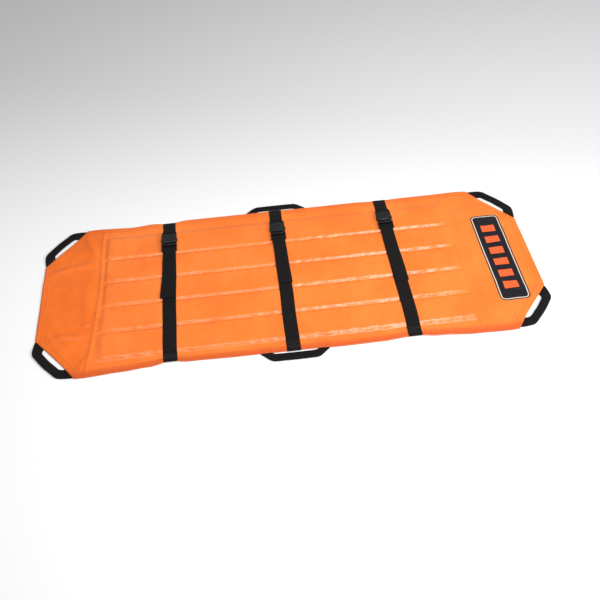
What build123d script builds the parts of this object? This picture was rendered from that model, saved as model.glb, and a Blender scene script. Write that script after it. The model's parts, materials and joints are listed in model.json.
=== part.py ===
from build123d import *
import math
import os

os.makedirs("parts", exist_ok=True)

# Flexible slat stretcher, laid flat on the floor. Millimetres.
# X runs along the stretcher with the head at +X, Y runs across it, +Z is up.
# The origin is on the floor under the middle of the whole outline.
# Five lengthwise strips, one slat in each, fold up along four seams parallel to X.

# ---- the sheet -----------------------------------------------------------------
sheet_length = 1870.0
sheet_width = 710.0
cloth_thickness = 1.2
corner_cut_x = 152.0        # the cut corner's length along the long edge
side_hem = 55.0             # flat hem outside the outermost pockets
foot_flap = 245.0           # slat-free cloth past the slats at the foot
head_flap = 295.0           # slat-free cloth past the slats at the head

# ---- slats and their pockets -----------------------------------------------------
slat_count = 5
slat_gap = 30.0             # from one slat's edge to the next one's
slat_thickness = 6.0
slat_corner_radius = 12.0
pocket_clearance = 0.4      # between a slat and its pocket
pocket_slope = 10.5         # how far a pocket's wall leans out on its way down
pocket_seam = 3.0           # flat cloth between a pocket's wall and the fold line

# ---- folding ---------------------------------------------------------------------
fold_limit = 60.0           # degrees at each of the four seams
fold_clearance = 0.4
strip_gap = 0.3             # between two strips' cloth at a fold line

# ---- webbing straps --------------------------------------------------------------
web_width = 50.0
web_thickness = 1.8
strap_pitch = 433.0
middle_strap_x = -20.0
lap_clearance = 0.2         # between a strap and the tail that lies on it
edge_return = 10.0          # how far a strap's edge turn comes back over the hem
web_slope_start = 3.5       # how far past the outermost slat a strap starts down
web_slope = 14.5            # run of a strap's slope from a pocket's top to the hem
tail_hem = 30.0             # length of the hem sewn back at a tail's end
tail_short_of_fold = {      # from a tail's end to where it would foul the near inner fold
    "foot": 0.5,
    "middle": 12.5,
    "head": -38.5,          # this tail lies across the fold, which lifts it
}

# ---- buckles -----------------------------------------------------------------------
buckle_clearance = 0.3      # between plastic and webbing, and under the buckle
part_clearance = 0.4        # between the socket's plates and what slides in it
web_room = 1.0              # beside the webbing, inside a buckle's rails
plug_fold_margin = 1.0      # between the plug and what the outer fold needs
plug_corner_radius = 1.8
bar_thickness = 2.8
bar_width = 5.0
plug_rail = 4.0             # width of the plug's side rails
plug_rail_height = 7.6
plug_slot = 8.0             # opening on each side of the adjusting bar
beam_width = 8.0            # the plug's cross beam, which the prongs spring from
beam_height = 10.0
prong_length = 34.0
prong_width = 6.0
prong_thickness = 5.4
prong_inset = 8.5           # from the socket's side to the middle of a prong
prong_root_room = 0.8       # between a prong's round root and the beam
prong_pad = 8.0             # how far a prong's thumb pad stands outside its arm
prong_pad_length = 14.0
tongue_width = 12.0
tongue_length = 32.0
tongue_thickness = 4.0
socket_corner_radius = 5.0
socket_plate = 2.2
socket_mouth_gap = 6.0      # from the plug's beam to the socket's mouth
socket_cavity = 38.0
socket_block = 8.0          # solid end wall behind the cavity
socket_slot = 9.0           # opening for the sewn loop of webbing
socket_rail = 3.0
loop_room = 2.0             # between the socket and where its webbing starts down
loop_lap = 4.0              # how far the webbing's loop comes back past the socket

# ---- handles -------------------------------------------------------------------------
handle_thickness = 3.6      # two layers of webbing
handle_clearance = 0.3      # between a handle's root and the sheet's edge
corner_root_out = 114.0     # half-length of a corner handle's outer line at its root
corner_root_in = 62.0       # half-length of the gap at the root
corner_shoulder_out = 75.0
corner_shoulder_in = 51.0
corner_reach = 44.0         # how far the grip's outer line stands out at the shoulders
corner_crown = 6.0          # how much further it stands out at its middle
corner_grip_width = 31.0
side_handle_x = -16.0       # middle of the side handles along X
side_root_out = 124.0
side_root_in = 80.0
side_shoulder_out = 82.0
side_shoulder_in = 68.0
side_reach = 38.0
side_grip_width = 30.0
side_crown = 1.0
handle_corner_radius = 7.0
tab_depth = 46.0            # sewn tab under the sheet at each handle root

# ---- worked-out places -----------------------------------------------------------------
half_length = sheet_length / 2
half_width = sheet_width / 2
slat_pitch = (sheet_width - 2 * side_hem) / slat_count
slat_width = slat_pitch - slat_gap
inner_fold_y = slat_pitch / 2
outer_fold_y = slat_pitch * 1.5
slat_start_x = -half_length + foot_flap
slat_end_x = half_length - head_flap
slat_length = slat_end_x - slat_start_x
slat_mid_x = (slat_start_x + slat_end_x) / 2

base_z = web_thickness                      # underside of the lower sheet
seam_z = base_z + cloth_thickness           # where the two sheets meet
fold_z = seam_z + cloth_thickness           # top of the cloth at a seam, the fold axis
pocket_room = slat_thickness + pocket_clearance
pocket_top = seam_z + pocket_room + cloth_thickness
web_mid = pocket_top + web_thickness / 2    # middle of a strap that lies on the pockets
hem_web_mid = fold_z + web_thickness / 2    # middle of a strap that lies on the hem
tail_mid = web_mid + web_thickness + lap_clearance
outer_slat_edge = slat_pitch * 2 + slat_width / 2
full_corner_half = 115.9                    # half the cut corner's length that the loops suit
corner_fit = math.hypot(corner_cut_x, half_width - outer_fold_y) / 2 / full_corner_half

strap_x = {
    "foot": middle_strap_x - strap_pitch,
    "middle": middle_strap_x,
    "head": middle_strap_x + strap_pitch,
}

strips = {
    "center": (-inner_fold_y, inner_fold_y),
    "inner_far": (inner_fold_y, outer_fold_y),
    "inner_near": (-outer_fold_y, -inner_fold_y),
    "outer_far": (outer_fold_y, half_width),
    "outer_near": (-half_width, -outer_fold_y),
}
slat_y = {
    "center": 0.0,
    "inner_far": slat_pitch,
    "inner_near": -slat_pitch,
    "outer_far": slat_pitch * 2,
    "outer_near": -slat_pitch * 2,
}


def save(name, solids):
    """Write one node: a single solid, or a group of separate solids."""
    shapes = solids if isinstance(solids, list) else [solids]
    shape = shapes[0] if len(shapes) == 1 else Compound(children=shapes)
    export_step(shape, f"parts/{name}.step")


def setback(height):
    """Distance from a fold line that something this high needs, so that it can fold."""
    return (height - fold_z) * math.tan(math.radians(fold_limit / 2)) + fold_clearance


def block(x_range, y_range, z_range):
    """A box between the given pairs of values."""
    (x0, x1), (y0, y1), (z0, z1) = x_range, y_range, z_range
    middle = Pos((x0 + x1) / 2, (y0 + y1) / 2, (z0 + z1) / 2)
    return middle * Box(x1 - x0, y1 - y0, z1 - z0)


def frustum(length, width, lean, y_mid, z_low, z_high):
    """A low box over a slat whose four walls lean outwards on their way down."""
    foot = Pos(slat_mid_x, y_mid, z_low) * Rectangle(length + 2 * lean, width + 2 * lean)
    top = Pos(slat_mid_x, y_mid, z_high) * Rectangle(length, width)
    return loft([foot, top])


def ribbon(line, thickness, width, x_mid):
    """A strip of webbing whose middle surface follows (y, z) points, with mitred turns."""
    normals = []
    for (y0, z0), (y1, z1) in zip(line, line[1:]):
        run = math.hypot(y1 - y0, z1 - z0)
        normals.append(((z0 - z1) / run, (y1 - y0) / run))
    above = []
    below = []
    for i, (y, z) in enumerate(line):
        ny, nz = normals[min(i, len(normals) - 1)]
        py, pz = normals[max(i - 1, 0)]
        mitre = (thickness / 2) / (1 + ny * py + nz * pz)
        dy, dz = (ny + py) * mitre, (nz + pz) * mitre
        above.append((x_mid - width / 2, y + dy, z + dz))
        below.append((x_mid - width / 2, y - dy, z - dz))
    outline = make_face(Polyline(*above, *reversed(below), close=True))
    return extrude(outline, amount=width, dir=(1, 0, 0))


def prism(points, z_low, height, radius=0.0):
    """A plate with the given plan, its upright edges rounded if a radius is given."""
    plate = Pos(0, 0, z_low) * extrude(make_face(Polyline(*points, close=True)), amount=height)
    if radius:
        plate = fillet(plate.edges().filter_by(Axis.Z), radius)
    return plate


# ---- sheet strips, pockets and slats ---------------------------------------------------

def half_length_at(y):
    """Half the sheet's length at a distance y from its centre line."""
    cut = max(0.0, (abs(y) - outer_fold_y) / (half_width - outer_fold_y))
    return half_length - corner_cut_x * cut


def strip_plan(name):
    """The four corners of a strip of cloth, short of its fold lines by half the gap."""
    low, high = strips[name]
    low += strip_gap / 2 if low > -half_width else 0
    high -= strip_gap / 2 if high < half_width else 0
    x_low, x_high = half_length_at(low), half_length_at(high)
    return [(-x_low, low), (x_low, low), (x_high, high), (-x_high, high)]


def make_base_sheet(name):
    """The lower layer of coated cloth in one strip."""
    return prism(strip_plan(name), base_z, cloth_thickness)


def make_slat(name):
    """A flat board with rounded corners, lying on the lower layer."""
    y = slat_y[name]
    plan = RectangleRounded(slat_length, slat_width, slat_corner_radius)
    return Pos(slat_mid_x, y, seam_z) * extrude(plan, amount=slat_thickness)


def make_cover_sheet(name):
    """The upper layer, raised into a pocket over the slat."""
    y = slat_y[name]
    room_length = slat_length + 2 * pocket_clearance
    room_width = slat_width + 2 * pocket_clearance
    top_length = room_length + 2 * cloth_thickness
    top_width = room_width + 2 * cloth_thickness
    lean = min(pocket_slope, slat_pitch / 2 - pocket_seam - top_width / 2)
    pocket = frustum(top_length, top_width, lean, y, seam_z, pocket_top)
    room = frustum(room_length, room_width, lean - cloth_thickness, y, seam_z, seam_z + pocket_room)
    return prism(strip_plan(name), seam_z, cloth_thickness) + pocket - room


# ---- straps ----------------------------------------------------------------------------

def under_web(name, x):
    """The part of a strap that runs under one strip, with its turn round a long edge."""
    low, high = strips[name]
    mid = web_thickness / 2
    if name.startswith("outer"):
        side = math.copysign(1, high + low)
        start = side * (outer_fold_y + strip_gap / 2)
        edge = side * (half_width + mid)
        back = side * (half_width - edge_return)
        line = [(start, mid), (edge, mid), (edge, hem_web_mid), (back, hem_web_mid)]
    else:
        line = [(low + strip_gap / 2, mid), (high - strip_gap / 2, mid)]
    return ribbon(line, web_thickness, web_width, x)


def top_web(name, x):
    """The standing part of a strap that lies over one strip's pocket."""
    back_off = setback(pocket_top + web_thickness)
    low, high = strips[name]
    if name == "outer_near":
        hem_end = -(half_width - edge_return)
        slope_head = -(outer_slat_edge + web_slope_start)
        slope_foot = slope_head - web_slope
        line = [(hem_end, hem_web_mid), (slope_foot, hem_web_mid), (slope_head, web_mid)]
        line.append((high - back_off, web_mid))
    elif name == "outer_far":
        line = plug_web_line()
    else:
        line = [(low + back_off, web_mid), (high - back_off, web_mid)]
    return ribbon(line, web_thickness, web_width, x)


def tail_web(x):
    """The stretch of a strap's tail that lies on the inner strip."""
    back_off = setback(tail_mid + web_thickness / 2)
    line = [(inner_fold_y + back_off, tail_mid), (outer_fold_y - back_off, tail_mid)]
    return ribbon(line, web_thickness, web_width, x)


def tail_tip(strap):
    """The free end of a strap's tail, hemmed back on itself at its end."""
    hem_mid = tail_mid + web_thickness
    root = inner_fold_y - setback(tail_mid + web_thickness / 2)
    end = tail_short_of_fold[strap] + setback(hem_mid + web_thickness / 2) - inner_fold_y
    flat = ribbon([(end, tail_mid), (root, tail_mid)], web_thickness, web_width, strap_x[strap])
    hem = ribbon([(end, hem_mid), (end + tail_hem, hem_mid)], web_thickness, web_width, strap_x[strap])
    return flat + hem


# ---- buckles ---------------------------------------------------------------------------
# The plug stays on the outer far strip. The socket comes off it towards the far edge.

buckle_floor = pocket_top + buckle_clearance
bar_z = pocket_top + web_thickness + buckle_clearance
over_bar_mid = bar_z + bar_thickness + buckle_clearance + web_thickness / 2
plug_start = outer_fold_y + setback(buckle_floor + plug_rail_height) + plug_fold_margin
adjusting_bar = plug_start + bar_width + plug_slot
beam_start = adjusting_bar + bar_width + plug_slot
beam_end = beam_start + beam_width
socket_mouth = beam_end + socket_mouth_gap
cavity_end = socket_mouth + socket_cavity
socket_slot_start = cavity_end + socket_block
socket_bar = socket_slot_start + socket_slot
socket_end = socket_bar + bar_width
plug_half_width = web_width / 2 + web_room + plug_rail
socket_half_width = web_width / 2 + web_room + socket_rail
prong_mid_x = socket_half_width - prong_inset
prong_low = buckle_floor + socket_plate + part_clearance
prong_high = prong_low + prong_thickness
socket_top = prong_high + part_clearance + socket_plate
prong_root_y = beam_end + prong_root_room + prong_width / 2


def plug_web_line():
    """The strap's way under the plug's bars, up behind the adjusting bar and back."""
    turn = beam_start - plug_slot / 2
    start = outer_fold_y + setback(web_mid + web_thickness / 2)
    end = outer_fold_y + setback(over_bar_mid + web_thickness / 2)
    return [(start, web_mid), (turn, web_mid), (turn, over_bar_mid), (end, over_bar_mid)]


def make_plug(x):
    """Side rails, front bar, adjusting bar, cross beam and guide tongue."""
    rail_top = buckle_floor + plug_rail_height
    beam_top = buckle_floor + beam_height
    tongue_mid = (prong_low + prong_high) / 2
    inner = plug_half_width - plug_rail
    bar_range = (bar_z, bar_z + bar_thickness)
    plug = block((-plug_half_width, plug_half_width), (beam_start, beam_end), (buckle_floor, beam_top))
    for side in (-1, 1):
        rail_x = sorted((side * inner, side * plug_half_width))
        plug += block(rail_x, (plug_start, beam_start), (buckle_floor, rail_top))
    for start in (plug_start, adjusting_bar):
        plug += block((-inner, inner), (start, start + bar_width), bar_range)
    plug = fillet(plug.edges().filter_by(Axis.Z).group_by(Axis.Y)[0], plug_corner_radius)
    plug += block(
        (-tongue_width / 2, tongue_width / 2), (beam_end, beam_end + tongue_length),
        (tongue_mid - tongue_thickness / 2, tongue_mid + tongue_thickness / 2))
    return Pos(x, 0, 0) * plug


def make_prong(x, side):
    """One springy arm with its thumb pad, rounded where it pivots at the beam."""
    arm_end = beam_end + prong_length
    half = prong_width / 2
    pad_start = arm_end - prong_pad_length - half
    arm = Pos(prong_mid_x, prong_root_y) * Circle(half)
    arm_mid = (prong_root_y + arm_end) / 2
    arm += Pos(prong_mid_x, arm_mid) * Rectangle(prong_width, arm_end - prong_root_y)
    pad = Polyline(
        (prong_mid_x, pad_start - prong_pad),
        (prong_mid_x + half + prong_pad, pad_start),
        (prong_mid_x + half + prong_pad, pad_start + prong_pad_length - half),
        (prong_mid_x + half, arm_end),
        (prong_mid_x, arm_end), close=True)
    plan = arm + make_face(pad)
    if side < 0:
        plan = mirror(plan, about=Plane.YZ)
    return Pos(x, 0, prong_low) * extrude(plan, amount=prong_thickness, dir=(0, 0, 1))


def make_socket(x):
    """Two plates with open sides, joined by an end wall that carries the web bar."""
    half = socket_half_width
    plate_y = (socket_mouth, socket_slot_start)
    lower = block((-half, half), plate_y, (buckle_floor, buckle_floor + socket_plate))
    upper = block((-half, half), plate_y, (socket_top - socket_plate, socket_top))
    wall = block((-half, half), (cavity_end, socket_slot_start), (buckle_floor, socket_top))
    socket = lower + upper + wall
    socket = fillet(socket.edges().filter_by(Axis.Z).group_by(Axis.Y)[0], socket_corner_radius)
    rail_top = bar_z + bar_thickness + 2 * buckle_clearance + web_thickness
    for side in (-1, 1):
        rail_x = sorted((side * (half - socket_rail), side * half))
        socket += block(rail_x, (socket_slot_start, socket_end), (buckle_floor, rail_top))
    socket += block((-half, half), (socket_bar, socket_end), (bar_z, bar_z + bar_thickness))
    return Pos(x, 0, 0) * socket


def make_far_web(x):
    """The short strap from the far hem up to the socket's bar, looped over it."""
    hem_end = half_width - edge_return
    slope_head = socket_end + loop_room
    up = socket_bar - socket_slot / 2
    line = [(hem_end, hem_web_mid), (slope_head + web_slope, hem_web_mid), (slope_head, web_mid)]
    line += [(up, web_mid), (up, over_bar_mid), (socket_end + loop_lap, over_bar_mid)]
    return ribbon(line, web_thickness, web_width, x)


# ---- handles ---------------------------------------------------------------------------

def handle_plan(root_out, root_in, shoulder_out, shoulder_in, reach, grip, crown):
    """A flat loop that stands out along +Y from a root line along X."""
    outer = [(-root_out, 0), (-shoulder_out, reach), (0, reach + crown),
             (shoulder_out, reach), (root_out, 0)]
    inner = [(root_in, 0), (shoulder_in, reach - grip), (0, reach + crown - grip),
             (-shoulder_in, reach - grip), (-root_in, 0)]
    return outer + inner


def at_cut_corner(piece, stand_off=0.0):
    """Turn a piece drawn on a root line along X so that it sits on the +X +Y cut corner."""
    cut_y = half_width - outer_fold_y
    cut_length = math.hypot(corner_cut_x, cut_y)
    mid_x = half_length - corner_cut_x / 2 + stand_off * cut_y / cut_length
    mid_y = half_width - cut_y / 2 + stand_off * corner_cut_x / cut_length
    turn = -math.degrees(math.atan2(cut_y, corner_cut_x))
    return Pos(mid_x, mid_y, 0) * Rot(0, 0, turn) * piece


def to_quarter(piece, end, side):
    """Mirror a piece made at the far side of the head to another end or side."""
    if end < 0:
        piece = mirror(piece, about=Plane.YZ)
    if side < 0:
        piece = mirror(piece, about=Plane.XZ)
    return piece


def make_corner_handle(end, side):
    """The loop on one cut corner: end is -1 at the foot, side is -1 on the near edge."""
    outline = handle_plan(
        corner_root_out * corner_fit, corner_root_in * corner_fit,
        corner_shoulder_out * corner_fit, corner_shoulder_in * corner_fit,
        corner_reach, corner_grip_width, corner_crown)
    loop = prism(outline, 0, handle_thickness)
    loop = fillet(loop.edges().filter_by(Axis.Z).group_by(Axis.Y)[-2], handle_corner_radius)
    return to_quarter(at_cut_corner(loop, handle_clearance), end, side)


def make_side_handle(side):
    """The loop beside the middle strap on one long edge."""
    outline = handle_plan(
        side_root_out, side_root_in, side_shoulder_out,
        side_shoulder_in, side_reach, side_grip_width, side_crown)
    loop = prism(outline, 0, handle_thickness)
    return to_quarter(Pos(side_handle_x, half_width + handle_clearance, 0) * loop, 1, side)


def make_tabs(side):
    """The six sewn tabs under one outer strip that hold its three handles."""
    tabs = []
    cloth = prism(strip_plan("outer_far"), 0, web_thickness)
    for hand in (-1, 1):
        corner_ends = sorted(hand * root * corner_fit for root in (corner_root_in, corner_root_out))
        corner = block(corner_ends, (-tab_depth, 0), (0, web_thickness))
        corner = at_cut_corner(corner) & cloth
        tabs += [to_quarter(corner, end, side) for end in (-1, 1)]
        side_ends = sorted(hand * root for root in (side_root_in, side_root_out))
        tab = block(side_ends, (half_width - tab_depth, half_width), (0, web_thickness))
        tabs.append(to_quarter(Pos(side_handle_x, 0, 0) * tab, 1, side))
    return tabs


for name in strips:
    save(f"{name}_base_sheet", make_base_sheet(name))
    save(f"{name}_cover_sheet", make_cover_sheet(name))
    save(f"{name}_slat", make_slat(name))
    save(f"{name}_under_webs", [under_web(name, x) for x in strap_x.values()])
    save(f"{name}_strap_webs", [top_web(name, x) for x in strap_x.values()])

save("inner_far_strap_tails", [tail_web(x) for x in strap_x.values()])

for strap, x in strap_x.items():
    save(f"{strap}_strap_tail_end", tail_tip(strap))
    save(f"{strap}_buckle_plug", make_plug(x))
    save(f"{strap}_buckle_prong_left", make_prong(x, -1))
    save(f"{strap}_buckle_prong_right", make_prong(x, 1))
    save(f"{strap}_buckle_socket", make_socket(x))
    save(f"{strap}_far_web", make_far_web(x))

for end, end_name in ((-1, "foot"), (1, "head")):
    for side, side_name in ((-1, "near"), (1, "far")):
        save(f"{end_name}_{side_name}_handle", make_corner_handle(end, side))
for side, side_name in ((-1, "near"), (1, "far")):
    save(f"middle_{side_name}_handle", make_side_handle(side))
    save(f"{side_name}_handle_tabs", make_tabs(side))
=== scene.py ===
import json
import math

import bpy
import numpy as np
from mathutils import Matrix, Vector


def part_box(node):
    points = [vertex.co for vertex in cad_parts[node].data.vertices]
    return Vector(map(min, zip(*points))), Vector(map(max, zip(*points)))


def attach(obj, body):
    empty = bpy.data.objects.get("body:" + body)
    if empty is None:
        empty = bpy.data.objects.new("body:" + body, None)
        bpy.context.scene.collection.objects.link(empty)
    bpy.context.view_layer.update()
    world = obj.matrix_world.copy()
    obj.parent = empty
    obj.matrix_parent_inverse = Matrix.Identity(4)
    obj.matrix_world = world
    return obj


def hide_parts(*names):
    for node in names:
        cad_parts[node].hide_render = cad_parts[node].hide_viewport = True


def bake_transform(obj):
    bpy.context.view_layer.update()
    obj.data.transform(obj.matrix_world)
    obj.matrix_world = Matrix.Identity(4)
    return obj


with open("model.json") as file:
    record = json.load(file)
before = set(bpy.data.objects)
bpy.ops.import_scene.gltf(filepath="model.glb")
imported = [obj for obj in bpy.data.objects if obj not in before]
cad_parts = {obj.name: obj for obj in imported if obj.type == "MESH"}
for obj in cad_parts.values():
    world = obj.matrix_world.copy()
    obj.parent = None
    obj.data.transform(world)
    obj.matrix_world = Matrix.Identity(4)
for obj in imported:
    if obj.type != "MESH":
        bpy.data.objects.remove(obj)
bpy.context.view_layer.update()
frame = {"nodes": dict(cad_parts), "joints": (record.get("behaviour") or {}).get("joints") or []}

# The stretcher lies flat: X along it with the head at +X, Y across it, Z up. Metres.
# Shapes are worked out in millimetres and turned into metres where a mesh is made.
MM = 0.001
STRAPS = ("foot", "middle", "head")
rng = np.random.default_rng(11)


# ---- places taken from the frame ----

def box_mm(node):
    """A CAD node's lowest and highest corners in millimetres."""
    low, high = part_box(node)
    return np.array(low) / MM, np.array(high) / MM


joints = {joint["name"]: joint for joint in frame["joints"]}


def joint_mm(name):
    """Where a hinge's axis passes, in millimetres."""
    return np.array(joints[name]["pos_m"]) / MM


base_low, base_high = box_mm("center_base_sheet")
slat_low, slat_high = box_mm("center_slat")
half_length = base_high[0]
half_width = box_mm("outer_far_base_sheet")[1][1]
inner_fold = joint_mm("fold_inner_far")[1]
outer_fold = joint_mm("fold_outer_far")[1]
fold_z = joint_mm("fold_inner_far")[2]
slat_pitch = 2 * inner_fold
slat_half = slat_high[1]
web_thickness = base_low[2]
cloth = base_high[2] - base_low[2]
pocket_top = box_mm("center_cover_sheet")[1][2]
HANDLE_OFFSET = 0.225  # how far along X a corner handle's axis is off its cut
cut_x = 2 * (half_length - joint_mm("head_far_handle_swing")[0] + HANDLE_OFFSET)
cut_y = half_width - outer_fold
slant = math.hypot(cut_x, cut_y)  # length of a corner's cut
strap_x = {}
for strap in STRAPS:
    tail_low, tail_high = box_mm(f"{strap}_strap_tail_end")
    strap_x[strap] = (tail_low[0] + tail_high[0]) / 2
web_width = tail_high[0] - tail_low[0]


# ---- small helpers ----

def smooth(low, high, value):
    """0 below low, 1 above high, easing between them."""
    t = np.clip((value - low) / (high - low), 0, 1)
    return t * t * (3 - 2 * t)


def bump(centre, width, value):
    """A soft ridge of height 1 at centre."""
    return np.exp(-((value - centre) / width) ** 2)


class Ripples:
    """A smooth random field: waves between two lengths, within an angle of the X direction."""

    def __init__(self, count, shortest, longest, spread=math.pi):
        lengths = shortest * (longest / shortest) ** rng.random(count)
        turns = spread * (rng.random(count) - 0.5) * 2
        self.kx = 2 * math.pi / lengths * np.cos(turns)
        self.ky = 2 * math.pi / lengths * np.sin(turns)
        self.phase = rng.random(count) * 2 * math.pi
        self.size = (lengths / longest) / math.sqrt(count / 2)

    def __call__(self, x, y):
        total = 0 * (x + y)
        for kx, ky, phase, size in zip(self.kx, self.ky, self.phase, self.size):
            total = total + size * np.sin(kx * x + ky * y + phase)
        return total


def new_object(name, verts_mm, faces, uv=None, sharp=None):
    """A smooth-shaded mesh object from millimetre vertices, with UVs given per vertex."""
    mesh = bpy.data.meshes.new(name)
    mesh.from_pydata((np.asarray(verts_mm) * MM).tolist(), [], faces)
    mesh.update()
    mesh.polygons.foreach_set("use_smooth", [True] * len(mesh.polygons))
    if uv is not None:
        corners = np.empty(len(mesh.loops), int)
        mesh.loops.foreach_get("vertex_index", corners)
        layer = mesh.uv_layers.new(name="rest")
        layer.data.foreach_set("uv", np.asarray(uv, float)[corners].ravel())
    if sharp is not None:
        ends = np.empty(len(mesh.edges) * 2, int)
        mesh.edges.foreach_get("vertices", ends)
        both = sharp[ends.reshape(-1, 2)].all(axis=1)
        mesh.edges.foreach_set("use_edge_sharp", both.tolist())
    thing = bpy.data.objects.new(name, mesh)
    bpy.context.scene.collection.objects.link(thing)
    return thing


# ---- camera, floor and light ----

def make_camera():
    """The viewing angle: from the near side, half above, a little to the foot."""
    camera = bpy.data.objects.new("camera", bpy.data.cameras.new("camera"))
    bpy.context.scene.collection.objects.link(camera)
    camera.data.sensor_width = 36
    camera.data.lens = 43.27
    place, aim = Vector((-0.1173, -1.8315, 2.0458)), Vector((0.0267, -0.1215, 0))
    roll = math.radians(2.617)
    forward = (aim - place).normalized()
    right = forward.cross(Vector((0, 0, 1))).normalized()
    right = Matrix.Rotation(roll, 4, forward) @ right
    turn = Matrix((right, right.cross(forward), -forward)).transposed().to_4x4()
    camera.matrix_world = Matrix.Translation(place) @ turn
    bpy.context.scene.camera = camera


def make_area_light(name, place, target, size, power):
    """A soft white rectangular light aimed at a point."""
    light = bpy.data.objects.new(name, bpy.data.lights.new(name, "AREA"))
    light.data.shape = "RECTANGLE"
    light.data.size, light.data.size_y = size
    light.data.energy = power
    light.location = place
    aim = Vector(target) - Vector(place)
    light.rotation_euler = aim.to_track_quat("-Z", "Y").to_euler()
    bpy.context.scene.collection.objects.link(light)


def make_studio():
    """A plain pale floor, greyed far away by painted shade, an even white surround and soft lights.
    """
    floor_size, floor_drop = 12.0, 0.0004
    bpy.ops.mesh.primitive_plane_add(size=floor_size, location=(0, 0, -floor_drop))
    floor = bpy.context.object
    floor.name = "floor"
    paint = Nodes("floor_paint")
    place = paint.add("ShaderNodeTexCoord").outputs["Object"]
    split = paint.add("ShaderNodeSeparateXYZ", {"Vector": place})
    # painted shade: the floor's colour greys towards the far side and the head end, standing in for
    # light falling off
    depth = paint.math("MULTIPLY_ADD", split.outputs["X"], 0.35, split.outputs["Y"])
    paint.feed(paint.shader.inputs["Base Color"],
               paint.mix(paint.step(depth, -0.3, 1.3), rgb(0.93, 0.93, 0.935),
                         rgb(0.72, 0.72, 0.725)))
    paint.shader.inputs["Roughness"].default_value = 0.9
    floor.data.materials.append(paint.material)
    world = bpy.data.worlds.new("surround")
    world.use_nodes = True
    background = world.node_tree.nodes["Background"]
    background.inputs["Color"].default_value = (1.0, 1.0, 1.0, 1)
    background.inputs["Strength"].default_value = 0.38
    bpy.context.scene.world = world
    make_area_light("overhead", (0.80, -0.42, 2.5), (0.4, -0.1, 0), (1.4, 0.26), 38)
    make_area_light("overhead_left", (-0.75, -0.42, 2.5), (-0.5, -0.1, 0), (1.3, 0.26), 12)
    make_area_light("side", (5.0, -2.0, 3.0), (0, 0, 0), (1.2, 1.2), 215)
    bpy.context.scene.view_settings.view_transform = "Standard"


# ---- materials ----

class Nodes:
    """Short calls for building one material's node tree."""

    def __init__(self, name):
        self.material = bpy.data.materials.new(name)
        self.material.use_nodes = True
        self.tree = self.material.node_tree
        self.shader = self.tree.nodes["Principled BSDF"]

    def add(self, kind, inputs=None, **settings):
        node = self.tree.nodes.new(kind)
        for key, value in settings.items():
            setattr(node, key, value)
        for key, value in (inputs or {}).items():
            self.feed(node.inputs[key], value)
        return node

    def feed(self, socket, value):
        """Link an output to a socket, or set the socket's own value."""
        if isinstance(value, bpy.types.NodeSocket):
            self.tree.links.new(value, socket)
        else:
            socket.default_value = value

    def math(self, operation, a, b=0.0, c=0.0):
        node = self.add("ShaderNodeMath", operation=operation)
        for socket, value in zip(node.inputs, (a, b, c)):
            self.feed(socket, value)
        return node.outputs[0]

    def step(self, value, low, high):
        """0 below low, 1 above high."""
        node = self.add("ShaderNodeMapRange", {"Value": value, "From Min": low, "From Max": high},
                        interpolation_type="SMOOTHSTEP")
        return node.outputs["Result"]

    def below(self, value, limit, blur):
        """1 below a limit and 0 above it, with a blurred edge."""
        return self.math("SUBTRACT", 1.0, self.step(value, limit - blur, limit + blur))

    def band(self, value, low, high, blur):
        """1 between two limits and 0 elsewhere, with blurred edges."""
        return self.math("MULTIPLY", self.step(value, low - blur, low + blur),
                         self.below(value, high, blur))

    def mix(self, amount, a, b):
        node = self.add("ShaderNodeMix", data_type="RGBA")
        self.feed(node.inputs["Factor"], amount)
        self.feed(node.inputs["A"], a)
        self.feed(node.inputs["B"], b)
        return node.outputs["Result"]

    def noise(self, vector, scale, detail=3.0, rough=0.55):
        node = self.add("ShaderNodeTexNoise", {"Vector": vector, "Scale": scale, "Detail": detail,
                                               "Roughness": rough})
        return node.outputs["Fac"]

    def uv(self):
        """The resting place along the piece, in metres, which bends with it."""
        node = self.add("ShaderNodeUVMap", uv_map="rest")
        split = self.add("ShaderNodeSeparateXYZ", {"Vector": node.outputs["UV"]})
        return node.outputs["UV"], split.outputs["X"], split.outputs["Y"]

    def bumped(self, height, strength, distance):
        node = self.add("ShaderNodeBump", {"Height": height, "Strength": strength,
                                           "Distance": distance})
        self.feed(self.shader.inputs["Normal"], node.outputs["Normal"])


def rgb(red, green, blue):
    return (red, green, blue, 1.0)


# the printed panel, in metres
LABEL_RADIUS = 0.022  # of its corners
LABEL_FRAME = (0.005, 0.009)  # how far inside its edge the pale line runs
LABEL_BLUR = 0.0005
BLOCK_HALF = 0.027  # half of a block's length across the panel
BLOCK_PITCH = 0.06
BLOCK_SPAN = (0.0125, 0.0465)  # the part of a pitch that a block takes
BLOCK_FIELD = 0.1785  # half of the length that the blocks take
SCRIM_PITCH = 0.0016  # spacing of the threads under the cloth's coat
RIB_PITCH, TWILL_PITCH = 0.0022, 0.0045  # of the webbing's weave


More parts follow.
